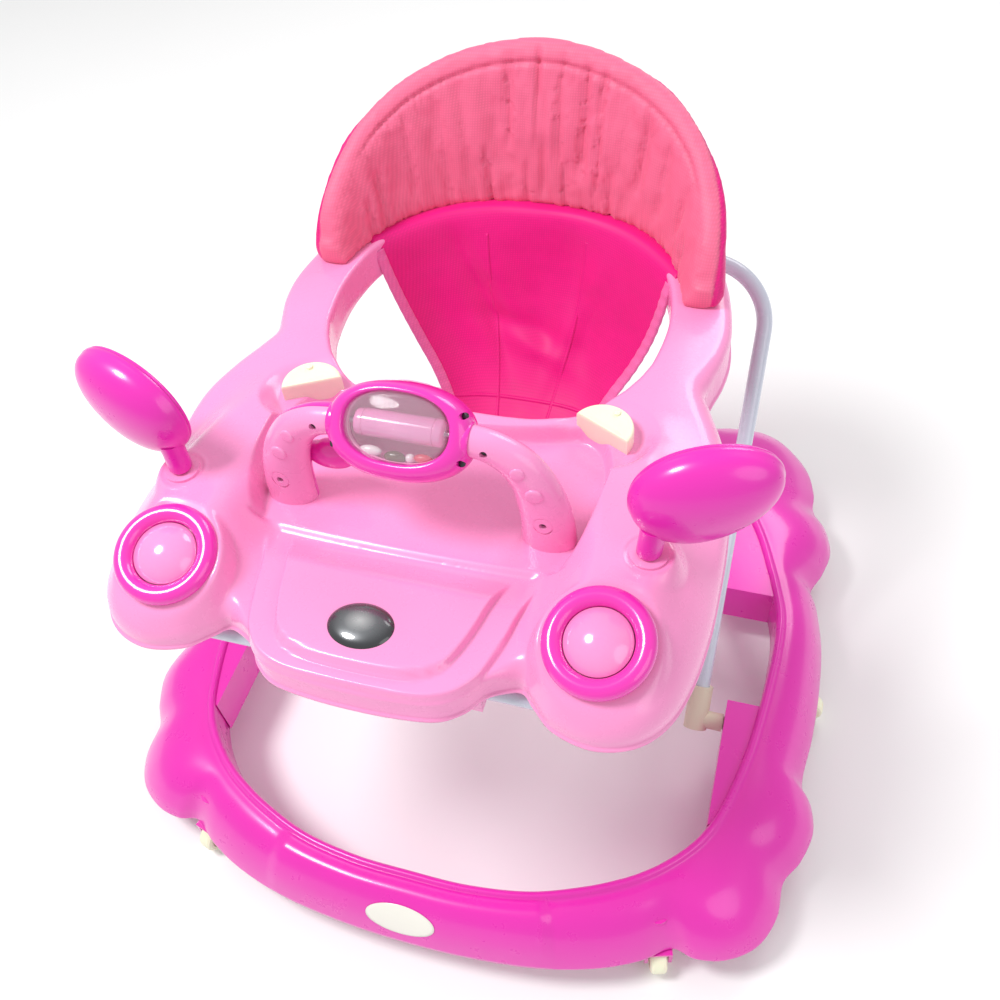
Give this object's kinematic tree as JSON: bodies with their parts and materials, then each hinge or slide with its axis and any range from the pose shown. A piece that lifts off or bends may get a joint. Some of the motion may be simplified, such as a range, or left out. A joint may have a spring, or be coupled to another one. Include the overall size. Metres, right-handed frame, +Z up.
{
  "type": "baby walker",
  "caption": "Folding baby walker: lobed ring base on swivel casters, crossed tube frames, car-shaped play tray with steering toy, sling seat and padded crescent backrest.",
  "frame": {"origin": "middle of the walker's box, on the floor under the casters", "axes": "+Z up; -Y towards the tray's hood and lamps, the way the child faces; X across"},
  "size_m": [0.678, 0.684, 0.56],
  "materials": {
    "magenta_plastic": "gloss",
    "pink_plastic": "gloss",
    "cream_plastic": "satin",
    "fitting_plastic": "satin",
    "painted_tube": "gloss",
    "pin_steel": "satin",
    "dark_screw": "satin",
    "badge": "gloss",
    "label": "satin",
    "clear_plastic": "clear",
    "mirror_foil": "mirror",
    "beads": "gloss",
    "pad_fabric": "satin weave",
    "seat_fabric": "satin weave",
    "binding_fabric": "satin weave"
  },
  "bodies": {
    "base": {"base_ring": "magenta_plastic", "caster_sockets": "magenta_plastic", "pivot_blocks_front": "magenta_plastic", "pivot_blocks_rear": "magenta_plastic", "label_sticker": "label"},
    "front_frame": {"front_tube": "painted_tube", "front_tube_feet": "fitting_plastic"},
    "rear_frame": {"rear_tube": "painted_tube", "rear_tube_feet": "fitting_plastic"},
    "tray": {"tray_shell": "pink_plastic", "front_hinge_clips": "pink_plastic", "rear_rack": "pink_plastic", "hood_badge": "badge", "lamp_rims": "magenta_plastic", "lamp_domes": "pink_plastic", "mirror_collars": "pink_plastic", "steering_arms": "pink_plastic", "steering_back": "magenta_plastic", "steering_screws": "dark_screw", "pod_frame": "magenta_plastic", "pod_window": "clear_plastic", "roller_pin": "pin_steel", "rattle_beads": "beads", "backrest_frame": "pink_plastic", "backrest_pad": "pad_fabric", "seat_sling": "seat_fabric", "seat_binding": "binding_fabric", "seat_buttons": "cream_plastic"},
    "knob_left": {"latch_knob_left": "cream_plastic"},
    "knob_right": {"latch_knob_right": "cream_plastic"},
    "mirror_left": {"mirror_shell_left": "magenta_plastic", "mirror_back_left": "magenta_plastic", "mirror_glass_left": "mirror_foil"},
    "mirror_right": {"mirror_shell_right": "magenta_plastic", "mirror_back_right": "magenta_plastic", "mirror_glass_right": "mirror_foil"},
    "roller": {"pod_roller": "pink_plastic"},
    "caster_1": {"caster_fork_1": "magenta_plastic", "caster_axle_1": "pin_steel"},
    "wheel_1": {"caster_wheel_1": "cream_plastic"},
    "caster_2": {"caster_fork_2": "magenta_plastic", "caster_axle_2": "pin_steel"},
    "wheel_2": {"caster_wheel_2": "cream_plastic"},
    "caster_3": {"caster_fork_3": "magenta_plastic", "caster_axle_3": "pin_steel"},
    "wheel_3": {"caster_wheel_3": "cream_plastic"},
    "caster_4": {"caster_fork_4": "magenta_plastic", "caster_axle_4": "pin_steel"},
    "wheel_4": {"caster_wheel_4": "cream_plastic"},
    "caster_5": {"caster_fork_5": "magenta_plastic", "caster_axle_5": "pin_steel"},
    "wheel_5": {"caster_wheel_5": "cream_plastic"},
    "caster_6": {"caster_fork_6": "magenta_plastic", "caster_axle_6": "pin_steel"},
    "wheel_6": {"caster_wheel_6": "cream_plastic"}
  },
  "joints": [
    {"name": "fold", "type": "hinge", "parent": "base", "child": "front_frame", "pos_m": [0, 0.08, 0.072], "axis": [1, 0, 0], "range_deg": [0, 30]},
    {"name": "tray_level", "type": "hinge", "parent": "front_frame", "child": "tray", "pos_m": [0, -0.243, 0.362], "axis": [1, 0, 0], "range_deg": [-30, 0]},
    {"name": "rear_fold", "type": "hinge", "parent": "base", "child": "rear_frame", "pos_m": [0, -0.08, 0.072], "axis": [1, 0, 0], "range_deg": [-30, 0]},
    {"name": "swivel_1", "type": "hinge", "parent": "base", "child": "caster_1", "pos_m": [-0.214, -0.27, 0.05], "axis": [0, 0, 1], "continuous": true},
    {"name": "roll_1", "type": "hinge", "parent": "caster_1", "child": "wheel_1", "pos_m": [-0.21926, -0.28721, 0.017], "axis": [0.9563, -0.2924, 0], "continuous": true},
    {"name": "swivel_2", "type": "hinge", "parent": "base", "child": "caster_2", "pos_m": [0.214, -0.27, 0.05], "axis": [0, 0, 1], "continuous": true},
    {"name": "roll_2", "type": "hinge", "parent": "caster_2", "child": "wheel_2", "pos_m": [0.21926, -0.28721, 0.017], "axis": [0.9563, 0.2924, 0], "continuous": true},
    {"name": "swivel_3", "type": "hinge", "parent": "base", "child": "caster_3", "pos_m": [-0.304, -0.012, 0.05], "axis": [0, 0, 1], "continuous": true},
    {"name": "roll_3", "type": "hinge", "parent": "caster_3", "child": "wheel_3", "pos_m": [-0.322, -0.012, 0.017], "axis": [0, -1, 0], "continuous": true},
    {"name": "swivel_4", "type": "hinge", "parent": "base", "child": "caster_4", "pos_m": [0.304, -0.012, 0.05], "axis": [0, 0, 1], "continuous": true},
    {"name": "roll_4", "type": "hinge", "parent": "caster_4", "child": "wheel_4", "pos_m": [0.322, -0.012, 0.017], "axis": [0, 1, 0], "continuous": true},
    {"name": "swivel_5", "type": "hinge", "parent": "base", "child": "caster_5", "pos_m": [-0.214, 0.27, 0.05], "axis": [0, 0, 1], "continuous": true},
    {"name": "roll_5", "type": "hinge", "parent": "caster_5", "child": "wheel_5", "pos_m": [-0.21926, 0.28721, 0.017], "axis": [-0.9563, -0.2924, 0], "continuous": true},
    {"name": "swivel_6", "type": "hinge", "parent": "base", "child": "caster_6", "pos_m": [0.214, 0.27, 0.05], "axis": [0, 0, 1], "continuous": true},
    {"name": "roll_6", "type": "hinge", "parent": "caster_6", "child": "wheel_6", "pos_m": [0.21926, 0.28721, 0.017], "axis": [-0.9563, 0.2924, 0], "continuous": true},
    {"name": "mirror_turn_left", "type": "hinge", "parent": "tray", "child": "mirror_left", "pos_m": [-0.172, -0.16, 0.44], "axis": [0, 0, 1], "range_deg": [-30, 30]},
    {"name": "mirror_turn_right", "type": "hinge", "parent": "tray", "child": "mirror_right", "pos_m": [0.172, -0.16, 0.44], "axis": [0, 0, 1], "range_deg": [-30, 30]},
    {"name": "roller_spin", "type": "hinge", "parent": "tray", "child": "roller", "pos_m": [0, -0.13607, 0.49224], "axis": [1, 0, 0], "continuous": true},
    {"name": "knob_press_left", "type": "slide", "parent": "tray", "child": "knob_left", "axis": [0, 0, -1], "range_m": [0, 0.004], "stiffness_N_per_m": 400, "springref_m": -0.001},
    {"name": "knob_press_right", "type": "slide", "parent": "tray", "child": "knob_right", "axis": [0, 0, -1], "range_m": [0, 0.004], "stiffness_N_per_m": 400, "springref_m": -0.001}
  ],
  "couplings": [
    {"joint": "tray_level", "follows": "fold", "ratio": -1},
    {"joint": "rear_fold", "follows": "fold", "ratio": -1}
  ]
}
